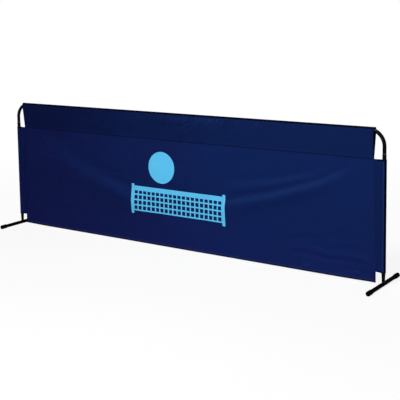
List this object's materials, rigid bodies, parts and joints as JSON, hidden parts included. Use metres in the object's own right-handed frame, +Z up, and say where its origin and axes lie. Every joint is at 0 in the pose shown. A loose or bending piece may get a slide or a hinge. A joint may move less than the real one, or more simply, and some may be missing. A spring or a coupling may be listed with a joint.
{
  "type": "table tennis barrier",
  "caption": "Low free-standing barrier: a bent tube frame carrying a sewn cloth cover with sleeves, on swivelling crossbar feet with end caps.",
  "frame": {"origin": "on the floor, under the middle of the barrier", "axes": "+X along the cover to the right-hand leg seen from the front, +Y to the back, +Z up; the front faces -Y"},
  "size_m": [2.331, 0.34, 0.73],
  "materials": {
    "black_coat": "satin powder coat",
    "zinc": "zinc plated",
    "nylon": "moulded",
    "black_cap": "moulded, matt",
    "navy_cloth": "coated woven polyester"
  },
  "bodies": {
    "frame": {"rail_left": "black_coat", "rail_right": "black_coat", "rail_spigot": "zinc", "spigot_rivet": "zinc", "leg_left": "black_coat", "leg_right": "black_coat", "leg_plug_left": "zinc", "leg_plug_right": "zinc", "foot_washer_left": "nylon", "foot_washer_right": "nylon", "foot_screw_left": "zinc", "foot_screw_right": "zinc", "cover_panel": "navy_cloth", "cover_top_sleeve": "navy_cloth", "cover_side_sleeve_left": "navy_cloth", "cover_side_sleeve_right": "navy_cloth"},
    "foot_left": {"foot_tube_left": "black_coat", "foot_cap_left_front": "black_cap", "foot_cap_left_rear": "black_cap"},
    "foot_right": {"foot_tube_right": "black_coat", "foot_cap_right_front": "black_cap", "foot_cap_right_rear": "black_cap"}
  },
  "joints": [
    {"name": "foot_swivel_left", "type": "hinge", "parent": "frame", "child": "foot_left", "pos_m": [-1.15399, 0, 0.0111], "axis": [0, 0, 1], "range_deg": [-70, 70]},
    {"name": "foot_swivel_right", "type": "hinge", "parent": "frame", "child": "foot_right", "pos_m": [1.15399, 0, 0.0111], "axis": [0, 0, 1], "range_deg": [-70, 70]}
  ]
}
